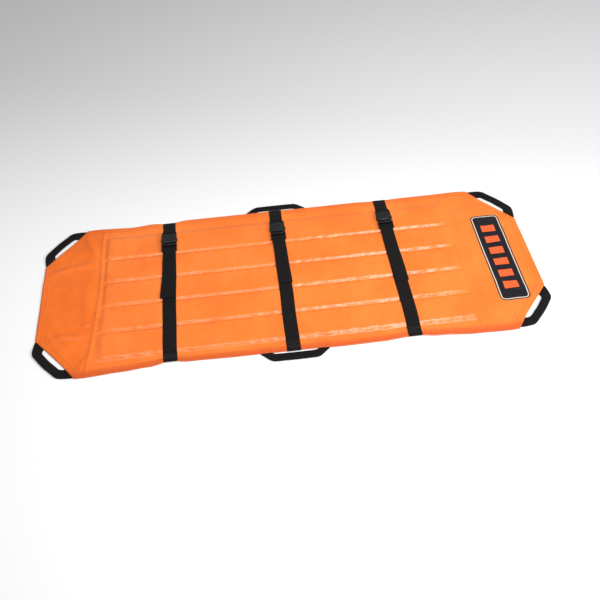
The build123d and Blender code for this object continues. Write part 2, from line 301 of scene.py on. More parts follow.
def make_vinyl(name, labelled):
    """Orange coated cloth: a fine scrim under a soft gloss, mottled a little and scuffed, with
    painted shade on the foot flap and along the rim.
    """
    n = Nodes(name)
    uv, u, v = n.uv()
    mottle = n.noise(uv, 5.0, 4.0)
    scuffs = n.noise(uv, 60.0, 4.0, 0.7)
    patches = n.step(mottle, 0.3, 0.7)
    base = n.mix(patches, rgb(0.90, 0.180, 0.018), rgb(0.98, 0.225, 0.030))
    seam = FOOT_SEAM * MM
    # painted shade: past the foot's cross seam the cloth turns to a darker, shaded copy of the
    # orange
    flap_painted_shade = n.step(n.math("ADD", u, n.math("MULTIPLY", mottle, 0.10)), seam + 0.10, seam - 0.02)
    base = n.mix(flap_painted_shade, base,
                 n.mix(patches, rgb(0.84, 0.145, 0.006), rgb(0.94, 0.175, 0.010)))
    worn_and_shaded = n.mix(n.math("MULTIPLY", n.step(scuffs, 0.58, 0.78), 0.5), base, rgb(0.98, 0.27, 0.06))
    # painted shade: the cloth darkens towards its long edges, three times as much on the near side
    # as on the far side
    rim = n.math("SUBTRACT", half_width * MM, n.math("ABSOLUTE", v))
    rim = n.math("ADD", rim, n.math("MULTIPLY", mottle, -0.03))
    shade_side_weight = n.math("MULTIPLY_ADD", n.step(v, 0.1, -0.1), 0.5, 0.25)
    rim_painted_shade = n.math("MULTIPLY", n.step(rim, 0.022, -0.008), shade_side_weight)
    worn_and_shaded = n.mix(rim_painted_shade, worn_and_shaded, rgb(0.60, 0.075, 0.010))
    roughness = n.math("MULTIPLY_ADD", scuffs, 0.16, 0.22)
    n.feed(n.shader.inputs["Base Color"], worn_and_shaded)
    n.feed(n.shader.inputs["Roughness"], roughness)
    n.shader.inputs["Specular IOR Level"].default_value = 0.5
    n.shader.inputs["Coat Weight"].default_value = 0.15
    if labelled:
        printed, panel = label_print(n, u, v, worn_and_shaded)
        n.feed(n.shader.inputs["Base Color"], printed)
        n.feed(n.shader.inputs["Roughness"], n.math("MULTIPLY_ADD", panel, -0.12, roughness))
        n.feed(n.shader.inputs["Coat Weight"], n.math("MULTIPLY_ADD", panel, -0.15, 0.15))
    n.shader.inputs["Coat Roughness"].default_value = 0.15
    scrim = 2 * math.pi / SCRIM_PITCH
    threads = n.math("MULTIPLY", n.math("SINE", n.math("MULTIPLY", u, scrim)),
                     n.math("SINE", n.math("MULTIPLY", v, scrim)))
    height = n.math("MULTIPLY_ADD", n.noise(uv, 180.0, 2.0), 0.5, n.math("MULTIPLY", threads, 0.25))
    n.bumped(height, 0.35, 0.0004)
    return n.material


def label_print(n, u, v, cloth_color):
    """A dark identity panel printed across the head flap: a pale frame and plain blocks.

    Returns the cloth's colour with the panel on it, and where the panel is.
    """
    centre = [sum(limits) / 2 * MM for limits in (LABEL_X, LABEL_Y)]
    half = [(limits[1] - limits[0]) / 2 * MM for limits in (LABEL_X, LABEL_Y)]
    from_middle = [n.math("SUBTRACT", place, middle) for place, middle in zip((u, v), centre)]
    away = [n.math("ABSOLUTE", place) for place in from_middle]
    across, along = (n.math("SUBTRACT", place, limit - LABEL_RADIUS)
                     for place, limit in zip(away, half))
    outside = n.math("SQRT", n.math(
        "ADD", n.math("POWER", n.math("MAXIMUM", across, 0.0), 2.0),
        n.math("POWER", n.math("MAXIMUM", along, 0.0), 2.0)))
    inside = n.math("MINIMUM", n.math("MAXIMUM", across, along), 0.0)
    edge = n.math("SUBTRACT", n.math("ADD", outside, inside), LABEL_RADIUS)
    panel = n.below(edge, -0.0002, 0.0006)
    color = n.mix(panel, cloth_color, rgb(0.007, 0.006, 0.009))
    frame_line = n.band(edge, -LABEL_FRAME[1], -LABEL_FRAME[0], LABEL_BLUR)
    color = n.mix(frame_line, color, rgb(0.70, 0.60, 0.52))
    turns = 34  # whole pitches that keep the remainder's input above 0
    cell = n.math("MODULO", n.math("ADD", from_middle[1], turns * BLOCK_PITCH), BLOCK_PITCH)
    rows = n.band(cell, *BLOCK_SPAN, LABEL_BLUR)
    columns = n.below(away[0], BLOCK_HALF, LABEL_BLUR)
    field = n.below(away[1], BLOCK_FIELD, LABEL_BLUR)
    blocks = n.math("MULTIPLY", n.math("MULTIPLY", columns, rows), field)
    return n.mix(blocks, color, rgb(0.85, 0.12, 0.03)), panel


def make_webbing_material():
    """Black ribbed webbing: cross ribs, a twill slanting from the middle, painted shade in the
    weave's grooves, and a little dust.
    """
    n = Nodes("black_webbing")
    uv, u, v = n.uv()
    ribs = n.math("SINE", n.math("MULTIPLY", v, 2 * math.pi / RIB_PITCH))
    diagonal = n.math("ADD", n.math("ABSOLUTE", u), v)
    twill = n.math("SINE", n.math("MULTIPLY", diagonal, 2 * math.pi / TWILL_PITCH))
    weave = n.math("MULTIPLY_ADD", twill, 0.5, ribs)
    dust = n.noise(uv, 35.0, 4.0, 0.65)
    # painted shade: the weave's grooves are darker than its crowns
    crown = n.step(weave, -0.6, 1.4)
    dark = n.mix(crown, rgb(0.004, 0.003, 0.003), rgb(0.012, 0.009, 0.009))
    n.feed(n.shader.inputs["Base Color"],
           n.mix(n.step(dust, 0.55, 0.9), dark, rgb(0.026, 0.020, 0.020)))
    n.shader.inputs["Roughness"].default_value = 0.55
    n.shader.inputs["Specular IOR Level"].default_value = 0.12
    n.bumped(weave, 0.6, 0.0004)
    return n.material


def make_thread(name, color):
    """Twisted sewing thread: its strands show as fine slanting stripes, with painted shade between
    them.
    """
    n = Nodes(name)
    place = n.add("ShaderNodeTexCoord").outputs["Object"]
    strands = n.add("ShaderNodeTexWave", {"Vector": place, "Scale": 700.0, "Distortion": 1.5},
                    bands_direction="DIAGONAL").outputs["Fac"]
    # painted shade: a darker copy of the thread's colour lies between its strands
    dark = tuple(part * 0.55 for part in color[:3]) + (1,)
    n.feed(n.shader.inputs["Base Color"], n.mix(strands, dark, color))
    n.shader.inputs["Roughness"].default_value = 0.6
    n.bumped(strands, 0.4, 0.0002)
    return n.material


def make_plastic():
    """Moulded black plastic with a fine spark-eroded grain."""
    n = Nodes("moulded_plastic")
    place = n.add("ShaderNodeTexCoord").outputs["Object"]
    grain = n.noise(place, 900.0, 3.0)
    wear = n.noise(place, 45.0, 4.0, 0.7)
    n.feed(n.shader.inputs["Base Color"],
           n.mix(n.step(wear, 0.5, 0.8), rgb(0.006, 0.0065, 0.008), rgb(0.018, 0.019, 0.022)))
    n.feed(n.shader.inputs["Roughness"], n.math("MULTIPLY_ADD", wear, 0.2, 0.22))
    n.bumped(grain, 0.25, 0.0002)
    return n.material


def make_wood():
    """Birch plywood for the slats, grain along X."""
    n = Nodes("birch_plywood")
    place = n.add("ShaderNodeTexCoord").outputs["Object"]
    stretched = n.add("ShaderNodeMapping", {"Vector": place, "Scale": (4.0, 90.0, 90.0)})
    rings = n.noise(stretched.outputs["Vector"], 1.0, 6.0, 0.6)
    n.feed(n.shader.inputs["Base Color"],
           n.mix(n.step(rings, 0.35, 0.65), rgb(0.42, 0.26, 0.12), rgb(0.66, 0.47, 0.27)))
    n.shader.inputs["Roughness"].default_value = 0.55
    n.bumped(rings, 0.3, 0.0003)
    return n.material


# ---- the cloth ----

HEM = 24.0  # width of the folded and stitched edge
SEAM_RISE = 4.2  # height of the roll of cloth along the foot seam
SEAM_LOFT = 1.2  # how far the cover stands off the base between slats
END_SEAM = 14.0  # from a slat's end to the cross seam
FOOT_SEAM = slat_low[0] - END_SEAM  # where the foot's cross seam starts at the far edge
FLOOR_GAP = 0.25  # between the floor and the lower cloth
WEB_SUNK = 0.2  # how far a strap under the shell sinks into it
PLY_GAP = 0.1  # between the two layers of cloth
LEAST_ROOM = 0.25  # the least that the cover stands above its floor
STRAP_EASE = (2, 22)  # past a strap's edge, where its pressure fades
DROP_SOFTNESS = 0.16  # rounding of the cover where it leaves a slat
SLAT_EASE = 2.0  # between a slat's edge and the drop of the cover
END_EASE = 3.0  # the same at a slat's end
OUTER_SEAM = 19.0  # from the outermost slat to the seam beside it
EDGE_TUCK = 0.8  # how far the cloth's rim turns down
LABEL_X = (half_length - 180.0, half_length - 65.0)
LABEL_Y = (-235.0, 212.0)

broad = Ripples(14, 160, 420)
small = Ripples(22, 35, 110)
pucker = Ripples(12, 9, 24, spread=0.25)
cross = Ripples(16, 30, 90, spread=0.35)


def through(points, x):
    """A value eased from each of a list of (place, value) points to the next."""
    places, values = np.transpose(points)
    at = np.interp(x, places, np.arange(len(places)))
    before = np.minimum(at.astype(int), len(places) - 2)
    t = at - before
    return values[before] + (values[before + 1] - values[before]) * t * t * (3 - 2 * t)


# the long edges' wander, (x, how far along Y): drawn in at the straps, slack between them
FAR_EDGE = [(-880, 0), (-730, 8), (-600, 1), (-520, 8), (-453, 0), (-380, 12), (130, 12),
            (300, 13), (413, 8), (500, 12), (730, 13), (880, 0)]
NEAR_EDGE = [(-880, 0), (-760, -8), (-620, 0), (-530, 7), (-453, 20), (-385, 12), (-200, 8),
             (60, 6), (150, 2), (290, 3), (413, 11), (500, 1), (620, -9), (740, -12), (880, 0)]


def edge_shift(x, y):
    """How far along Y the loose cloth beyond the outermost slats is moved."""
    side = np.where(y > 0, through(FAR_EDGE, x), through(NEAR_EDGE, x))
    return side * smooth(2 * slat_pitch + slat_half + 3, half_width - 5, np.abs(y))


def half_length_at(y):
    """Half the sheet's length at this distance from its centre line."""
    cut = np.clip((np.abs(y) - outer_fold) / cut_y, 0, None)
    return half_length - cut_x * cut


def edge_distance(x, y):
    """How far inside the sheet's outline a point is."""
    corner = (half_length - np.abs(x)) * cut_y + (half_width - np.abs(y)) * cut_x - cut_x * cut_y
    return np.minimum(np.minimum(half_width - np.abs(y), half_length - np.abs(x)), corner / slant)


def ridge(x, y, start, end, width):
    """A crease's soft ridge between two points, fading out at both of its ends."""
    sx, sy = start
    dx, dy = end[0] - sx, end[1] - sy
    t = ((x - sx) * dx + (y - sy) * dy) / (dx * dx + dy * dy)
    off = ((x - sx) * dy - (y - sy) * dx) / math.hypot(dx, dy)
    fade = smooth(-0.1, 0.25, t) * (1 - smooth(0.7, 1.1, t))
    return fade * np.exp(-((off / width) ** 2))


# creases in the two flaps: start, end, width, height
CREASES = [
    ((-925, 138), (-735, 172), 13, 6.5), ((-800, 345), (-728, 195), 12, 5.5),
    ((-880, 262), (-745, 215), 11, 2.5), ((-930, 60), (-745, 70), 20, 2.0),
    ((-870, -172), (-750, -190), 12, 4.5), ((-775, -134), (-700, -118), 9, 3.5),
    ((-905, -150), (-790, -325), 14, 4.5), ((-925, -40), (-800, -250), 20, 2.5),
    ((-790, -345), (-700, -230), 12, 3.5), ((-760, 100), (-770, -120), 18, 2.5),
    ((935, 150), (800, 20), 22, 2.0), ((905, -200), (730, -120), 16, 3.0),
    ((860, 300), (700, 230), 16, 2.5), ((720, 330), (700, -330), 22, 2.0),
]


def lift(x, y):
    """How far both layers of cloth stand off the floor, where no slat keeps them flat."""
    beyond = smooth(4, 70, slat_low[0] - x) + smooth(4, 70, x - slat_high[0])
    calm = smooth(0, 60, edge_distance(x, y))
    waves = 1.6 + 1.3 * broad(x, y) + 0.8 * small(x, y)
    for start, end, width, height in CREASES:
        waves = waves + height * ridge(x, y, start, end, width)
    rim = 0.5 + 0.5 * broad(x * 1.7, y * 1.7)
    return beyond * (np.maximum(waves, 0) * calm + 1.2 * np.maximum(rim, 0) * (1 - calm))


def under_strap(x):
    """1 under a cross strap, 0 away from it."""
    start, end = (web_width / 2 + ease for ease in STRAP_EASE)
    total = 0 * x
    for middle in strap_x.values():
        total = total + 1 - smooth(start, end, np.abs(x - middle))
    return total


def lower_bottom(x, y):
    """Underside of the lower cloth: on the floor, but over the straps that run under it."""
    return FLOOR_GAP + (web_thickness - WEB_SUNK) * under_strap(x) + lift(x, y)


def tight_drop(edge, foot, off):
    """0 on a slat and 1 at its seam: cloth rounding the slat's edge, then straight down."""
    t = (off - edge) / (foot - edge)
    rounding = np.sqrt(t * t + DROP_SOFTNESS * DROP_SOFTNESS)
    return np.clip((t + rounding) / (1 + math.hypot(1, DROP_SOFTNESS)), 0, 1)


def pocket_shape(x, y):
    """1 over a slat, 0 at the seams round it."""
    row = np.clip(np.round(y / slat_pitch), -2, 2)
    off = np.abs(y - row * slat_pitch)
    outermost = np.abs(y) > 2 * slat_pitch
    wander = 0.8 + 1.2 * small(x * 0.7, row * 97 + np.sign(y - row * slat_pitch) * 31)
    seam = np.where(outermost, slat_half + OUTER_SEAM, slat_pitch / 2)
    sides = 1 - tight_drop(slat_half + SLAT_EASE + np.maximum(wander, 0), seam, off)
    foot_end, head_end = end_seams(y)
    ends = 1 - tight_drop(END_EASE - slat_low[0], -foot_end, -x)
    return sides * ends * (1 - tight_drop(slat_high[0] + END_EASE, head_end, x))


def upper_top(x, y):
    """Upper surface of the upper cloth."""
    floor = lower_bottom(x, y) + cloth + PLY_GAP
    rest = floor + cloth
    shape = pocket_shape(x, y)
    pressed = under_strap(x)
    slack = (1 - pressed) * (0.25 + 0.45 * small(x, y) + 0.35 * cross(x, y))
    height = rest + shape * (pocket_top - LEAST_ROOM - rest + slack)
    among = (np.abs(y) < 2 * slat_pitch) * (x > slat_low[0]) * (x < slat_high[0])
    height = height + SEAM_LOFT * among * (1 - shape) * (1 - pressed)
    side_slack = shape * (1 - shape) * 4 * (1 - pressed)
    height = height + side_slack * (0.7 * cross(x, y) + 0.30 * pucker(x * 0.6, y))
    inside = edge_distance(x, y)
    hem = (1 - smooth(HEM - 1.5, HEM + 2.0, inside)) * (1 - pressed)
    height = height + hem * (0.9 + 0.25 * pucker(x, y))
    foot_end, head_end = end_seams(y)
    roll = SEAM_RISE * (1 + 0.3 * small(x * 0.1, y * 2)) * (1 - hem)
    height = height + roll * bump(foot_end - 10, 7.0, x)
    height = height + 1.6 * (1 - hem) * bump(head_end + 7, 5.0, x)
    height = height - EDGE_TUCK * (1 - smooth(0, 2.0, inside))
    return np.maximum(height, floor + LEAST_ROOM)


def end_seams(y):
    """Where the cross seams at the slats' two ends run; the foot one bows towards the foot."""
    down = (half_width - y) / (2 * half_width)
    sag = 36 * down ** 4 + 2 * np.sin(down * 11)
    return FOOT_SEAM - sag, slat_high[0] + END_SEAM + 3 * np.sin(down * 5)


ROW_STEPS = {"plain": 3.2, "fold": 1.6, "edge": 1.2}
END_SQUEEZE = 0.03  # how much closer the columns are at the sheet's ends


def rows_between(low, high):
    """Y values for a piece of cloth, closer together at the folds and the outer edge."""
    spots = [low]
    while spots[-1] < high - 1e-6:
        here = spots[-1]
        near_fold = min(abs(abs(here) - inner_fold), abs(abs(here) - outer_fold))
        near_edge = half_width - abs(here)
        step = ROW_STEPS["fold"] if near_fold < 14 else ROW_STEPS["plain"]
        step = ROW_STEPS["edge"] if near_edge < 5 else step
        spots.append(min(high, here + step))
    return np.array(spots)


def cloth_piece(name, low, high, top, bottom, columns):
    """A closed piece of cloth between two Y values, its upper and lower surfaces given."""
    ys = rows_between(low, high)
    even = np.linspace(-1, 1, columns + 1)
    shares = (1 - END_SQUEEZE) * even + END_SQUEEZE * np.sin(even * math.pi / 2)
    y = np.repeat(ys[:, None], columns + 1, axis=1)
    x = shares[None, :] * half_length_at(y)
    rows = len(ys)
    moved = y + edge_shift(x, y)
    upper = np.stack([x, moved, top(x, y)], axis=2).reshape(-1, 3)
    lower = np.stack([x, moved, bottom(x, y)], axis=2).reshape(-1, 3)
    index = np.arange(rows * (columns + 1)).reshape(rows, columns + 1)
    a, b = index[:-1, :-1].ravel(), index[:-1, 1:].ravel()
    c, d = index[1:, 1:].ravel(), index[1:, :-1].ravel()
    below = rows * (columns + 1)
    faces = np.stack([a, b, c, d], axis=1).tolist()
    faces += np.stack([d + below, c + below, b + below, a + below], axis=1).tolist()
    ring = np.concatenate([index[0, :-1], index[:-1, -1], index[-1, :0:-1], index[:0:-1, 0]])
    after = np.roll(ring, -1)
    faces += np.stack([ring, ring + below, after + below, after], axis=1).tolist()
    uv = np.tile(np.stack([x, y], axis=2).reshape(-1, 2), (2, 1)) * MM
    cut = np.zeros((rows, columns + 1), bool)
    cut[0] = abs(low) < half_width - 1
    cut[-1] = abs(high) < half_width - 1
    sharp = np.concatenate([cut.ravel(), cut.ravel()])
    return new_object(name, np.concatenate([upper, lower]), faces, uv, sharp)


def bend(piece, first, second, start_y, end_y):
    """Bake a piece's place into its mesh; the two bodies and the two Y values are not used."""
    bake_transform(piece)


def beside(fold, reach):
    """The Y values a given reach to both sides of a fold."""
    return fold - reach, fold + reach


CLOTH_BEND = 4.5  # half the breadth of cloth about a fold; passed to bend, which does not use it
# each piece of cloth: its name, its two Y limits, the two bodies it joins and the fold between
SPANS = [
    ("far_inner", 0, slat_pitch, "center_strip", "inner_far_strip", inner_fold),
    ("far_outer", slat_pitch, half_width, "inner_far_strip", "outer_far_strip", outer_fold),
    ("near_inner", -slat_pitch, 0, "center_strip", "inner_near_strip", -inner_fold),
    ("near_outer", -half_width, -slat_pitch, "inner_near_strip", "outer_near_strip", -outer_fold),
]


def make_cloth():
    """Upper and lower cloth in four pieces each, one for each fold."""
    printed = make_vinyl("orange_vinyl_printed", labelled=True)
    plain = make_vinyl("orange_vinyl", labelled=False)
    columns = 340

    def upper_bottom(x, y):
        return np.maximum(upper_top(x, y) - cloth, lower_bottom(x, y) + cloth + 0.05)

    def lower_top(x, y):
        return lower_bottom(x, y) + cloth

    for name, low, high, first, second, fold in SPANS:
        side = 1 if high > 0 else -1
        for layer, top, bottom, count, node, vinyl in (
                ("upper_cloth", upper_top, upper_bottom, columns, "cover_sheet", printed),
                ("lower_cloth", lower_top, lower_bottom, columns // 2, "base_sheet", plain)):
            piece = cloth_piece(f"{layer}_{name}", low, high, top, bottom, count)
            piece.data.materials.append(vinyl)
            moving = second.replace("_strip", "")
            nodes = [f"{moving}_{node}"] + ([f"center_{node}"] if first == "center_strip" else [])
            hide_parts(*nodes)
            flat = ((high - low) * MM, 2 * half_length * MM)
            cut = flat[0] * flat[1]
            if "outer" in name:
                cut -= cut_x * cut_y * MM * MM
            bend(piece, first, second, *beside(fold, side * CLOTH_BEND))


# ---- stitching ----

PITCH, STITCH = 4.6, 3.3  # from one stitch to the next, and a stitch's length


def stitches(name, rows, height, material):
    """Raised threads along rows of (x, y) points; height gives the surface they lie on."""
    half_thread, rise, sink = 0.45, 0.45, 0.3
    starts, ways = [], []
    for row in rows:
        points = resample(np.asarray(row, float), PITCH)
        way = np.diff(points, axis=0)
        starts.append(points[:-1])
        ways.append(way / np.linalg.norm(way, axis=1)[:, None])
    start, ahead = np.concatenate(starts), np.concatenate(ways)
    aside = np.stack([-ahead[:, 1], ahead[:, 0]], axis=1) * half_thread
    corners = []
    for share, spread, level in ((0, 0.7, -sink), (0, 0.7, 0.1), (0.25, 1, rise),
                                 (0.75, 1, rise), (1, 0.7, 0.1), (1, 0.7, -sink)):
        middle = start + ahead * STITCH * share
        z = height(middle[:, 0], middle[:, 1]) + level
        moved = middle[:, 1] + edge_shift(middle[:, 0], middle[:, 1])
        for side in (-1, 1):
            corners.append(np.stack([middle[:, 0] + side * spread * aside[:, 0],
                                     moved + side * spread * aside[:, 1], z], axis=1))
    verts = np.stack(corners, axis=1).reshape(-1, 3)
    shape = [(2 * k, 2 * k + 1, 2 * k + 3, 2 * k + 2) for k in range(5)]
    shape += [(10, 11, 1, 0), (0, 2, 4, 6, 8, 10), (11, 9, 7, 5, 3, 1)]
    faces = [tuple(12 * i + k for k in face) for i in range(len(start)) for face in shape]
    piece = new_object(name, verts, faces)
    piece.data.materials.append(material)
    return piece


def outline_row(inset):
    """The sheet's eight-sided outline, moved inwards."""
    x = half_length - cut_x - inset * (slant - cut_x) / cut_y
    y = half_width - cut_y - inset * (slant - cut_y) / cut_x
    far, end = half_width - inset, half_length - inset
    return [(x, far), (end, y), (end, -y), (x, -far), (-x, -far), (-end, -y), (-end, y), (-x, far),
            (x, far)]


def within(points, low, high):
    """The runs of a row of points whose Y lies between two values."""
    points = resample(np.asarray(points, float), PITCH)
    runs, run = [], []
    for point in points:
        if low <= point[1] < high:
            run.append(point)
        elif run:
            runs.append(run)
            run = []
    runs.append(run)
    return [run for run in runs if len(run) > 1]


def box_and_cross(middle, along, across, length, breadth):
    """A sewn box with its diagonals."""
    corner = [middle + along * length * a + across * breadth * b
              for a, b in ((-0.5, -0.5), (0.5, -0.5), (0.5, 0.5), (-0.5, 0.5))]
    return [corner + corner[:1], [corner[0], corner[2]], [corner[1], corner[3]]]


HEM_ROWS = (5.0, 20.0)  # how far inside the outline the hem's stitches run
TAB_MIDDLE = {"corner": 88, "side": 101}  # from a handle's middle to its sewn tabs' middles
TAB_BOX = (22, 36, 26)  # a tab's box: inside the root line, length, breadth
STRAP_BOX = (27, 26, 10)  # a strap's: inside the edge, length, webbing beside it


def make_cloth_stitches(thread):
    """Hem, seams round the slats' pockets and the boxes that hold the handles."""
    rows = [outline_row(inset) for inset in HEM_ROWS]
    ys = np.linspace(-half_width + HEM, half_width - HEM, 60)
    foot_end, head_end = end_seams(ys)
    rows += [list(zip(foot_end - 1.0, ys)), list(zip(head_end + 1.0, ys))]
    rows += [[(FOOT_SEAM, y), (slat_high[0] + END_SEAM, y)]
             for y in (-outer_fold, -inner_fold, inner_fold, outer_fold)]
    boxes = {"far": [], "near": []}
    for joint in joints.values():
        if joint["name"].endswith("handle_swing"):
            root, along, out = handle_frame(joint)
            reach = TAB_MIDDLE["side" if joint["name"].startswith("middle") else "corner"]
            inside, length, breadth = TAB_BOX
            for side in (-reach, reach):
                middle = (root + along * side - out * inside)[:2]
                boxes["far" if root[1] > 0 else "near"] += box_and_cross(
                    middle, along[:2], out[:2], length, breadth)
    for name, low, high, first, second, fold in SPANS:
        side = 1 if high > 0 else -1
        runs = [run for row in rows for run in within(row, low, high)]
        piece = stitches(f"stitches_{name}", runs, upper_top, thread)
        bend(piece, first, second, *beside(fold, side * CLOTH_BEND))
    for side in ("far", "near"):
        piece = stitches(f"handle_boxes_{side}", boxes[side], upper_top, thread)
        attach(piece, f"outer_{side}_strip")


def make_strap_stitches(thread):
    """The sewn boxes that fix each strap to the hem at both long edges."""
    along, across = np.array((0.0, 1.0)), np.array((1.0, 0.0))
    inside, length, margin = STRAP_BOX
    for side, sign in (("far", 1), ("near", -1)):
        rows = []
        for strap in STRAPS:
            middle = np.array((strap_x[strap], sign * (half_width - inside)))
            rows += box_and_cross(middle, along, across, length, web_width - margin)

        def top(x, y):
            return hem_mid + web_thickness / 2 + 0 * x

        piece = stitches(f"strap_boxes_{side}", rows, top, thread)
        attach(piece, f"outer_{side}_strip")


def handle_frame(joint):
    """A handle's root middle, its direction along the root, and the way out from the sheet."""
    root = np.array(joint["pos_m"]) / MM
    along = np.array(joint["axis"], float)
    return root, along, np.cross((0, 0, 1), along)


# ---- webbing ----

def rounded(points, passes=3):
    """Corner cutting: a polyline's corners become short smooth turns."""
    points = np.asarray(points, float)
    for _ in range(passes):
        near = points[:-1] * 0.75 + points[1:] * 0.25
        far = points[:-1] * 0.25 + points[1:] * 0.75
        middle = np.stack([near, far], axis=1).reshape(-1, points.shape[1])
        points = np.concatenate([points[:1], middle, points[-1:]])
    return points


def resample(points, step):
    """Points an even distance apart along a polyline."""
    lengths = np.concatenate([[0], np.cumsum(np.linalg.norm(np.diff(points, axis=0), axis=1))])
    count = max(2, int(round(lengths[-1] / step)) + 1)
    spots = np.linspace(0, lengths[-1], count)
    return np.stack([np.interp(spots, lengths, column) for column in points.T], axis=1)


def split_at(points, y):
    """Insert a point in a (x, y, z) line wherever it crosses a Y value."""
    result = [points[0]]
    for before, after in zip(points, points[1:]):
        if (before[1] - y) * (after[1] - y) < 0:
            t = (y - before[1]) / (after[1] - before[1])
            result.append(before + t * (after - before))
        result.append(after)
    return np.array(result)


def section(width, thickness, corners=5):
    """Half-rounded flat section of webbing as (across, up) pairs, counter-clockwise."""
    radius = thickness / 2
    turns = np.linspace(-math.pi / 2, math.pi / 2, corners)
    right = [(width / 2 - radius + radius * math.cos(t), radius * math.sin(t)) for t in turns]
    spans = np.linspace(width / 2 - radius, -width / 2 + radius, 9)[1:-1]
    top = [(across, radius) for across in spans]
    left = [(-a, -b) for a, b in right]
    low = [(-across, -radius) for across in spans]
    return np.array(right + top + left + low)


def ribbon(name, line, across, sections, mitred=False):
    """A closed strip swept along a line. across is each point's sideways direction.

    A mitred strip keeps those directions as they are, at whatever angle to the line.
    """
    line = np.asarray(line, float)
    ahead = np.gradient(line, axis=0)
    ahead /= np.linalg.norm(ahead, axis=1)[:, None]
    side = np.asarray(across, float)
    if not mitred:
        side = side - (side * ahead).sum(axis=1)[:, None] * ahead
    side /= np.linalg.norm(side, axis=1)[:, None]
    up = np.cross(ahead, side)
    up /= np.linalg.norm(up, axis=1)[:, None]
    verts, uv = [], []
    run = 0.0
    size = len(sections[0])
    for i, centre in enumerate(line):
        if i:
            run += np.linalg.norm(line[i] - line[i - 1])
        for a, b in sections[i]:
            verts.append(centre + side[i] * a + up[i] * b)
            uv.append((a * MM, run * MM))
    faces = []
    for i in range(len(line) - 1):
        for k in range(size):
            m = (k + 1) % size
            faces.append((i * size + k, i * size + m, (i + 1) * size + m, (i + 1) * size + k))
    faces.append(tuple(reversed(range(size))))
    faces.append(tuple(range((len(line) - 1) * size, len(line) * size)))
    ends = np.zeros(len(verts), bool)
    ends[:size] = ends[-size:] = True
    return new_object(name, verts, faces, uv, ends)


TURN = 0.35  # how far webbing keeps off what it lies on
web_mid = pocket_top + web_thickness / 2 + 0.1
hem_mid = fold_z + web_thickness / 2 + TURN
under_mid = web_thickness / 2 + 0.05
tail_mid = web_mid + web_thickness + 0.3
plug_low = box_mm("middle_buckle_plug")[0]
socket_end = box_mm("middle_buckle_socket")[1][1]
turn_y = plug_low[1] + 22.0  # where a strap turns up behind the adjusting bar
over_bar = plug_low[2] + 5.8  # middle of the webbing over the plug's bars
loop_y = socket_end - 9.5  # where the far web turns up through the socket
slat_edge = 2 * slat_pitch + slat_half
lap_y = half_width - 10  # where the far web's turn round the edge ends
ELASTIC = 8.0  # half the length of webbing about a fold; passed to bend, which does not use it
UNDER_BEND = 4.0  # the same under the shell
TAIL_DRIFT = {"foot": -9.0, "middle": 3.0, "head": 4.0}  # how far a tail ends beside its strap
TAIL_START = 0.35  # the share of that drift where a tail starts
TAIL_HEM = 30  # length of a tail's end that is sewn back


def strap_line(points, strap, step=3.0):
    """A strap's middle line in space from its (y, z) points, with a little wander."""
    line = resample(rounded(points), step)
    y = line[:, 0]
    phase = STRAPS.index(strap) * 1.9
    x = strap_x[strap] + np.sin(y / 83 + phase) + 0.5 * np.sin(y / 37 + 2 * phase)
    return np.stack([x, y, line[:, 1]], axis=1)


def tail_sway(strap, y):
    """How far beside its strap a tail lies at each of its Y values."""
    return TAIL_DRIFT[strap] * (TAIL_START + (1 - TAIL_START) * smooth(slat_pitch, -60, y))


def strap_piece(name, line, first, second, nodes, zone):
    """One length of webbing and the CAD nodes it stands for, which it hides; the bodies and the
    zone are not used.
    """
    line = line.copy()
    line[:, 1] += edge_shift(line[:, 0], line[:, 1])
    sections = [section(web_width, web_thickness)] * len(line)
    piece = ribbon(name, line, np.tile((1.0, 0, 0), (len(line), 1)), sections)
    piece.data.materials.append(webbing)
    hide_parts(*nodes)
    bend(piece, first, second, *zone)


def cut_line(line, low, high):
    """The part of a line whose Y lies between two values."""
    line = split_at(split_at(line, low), high)
    keep = (line[:, 1] >= low - 1e-6) & (line[:, 1] <= high + 1e-6)
    return line[keep]


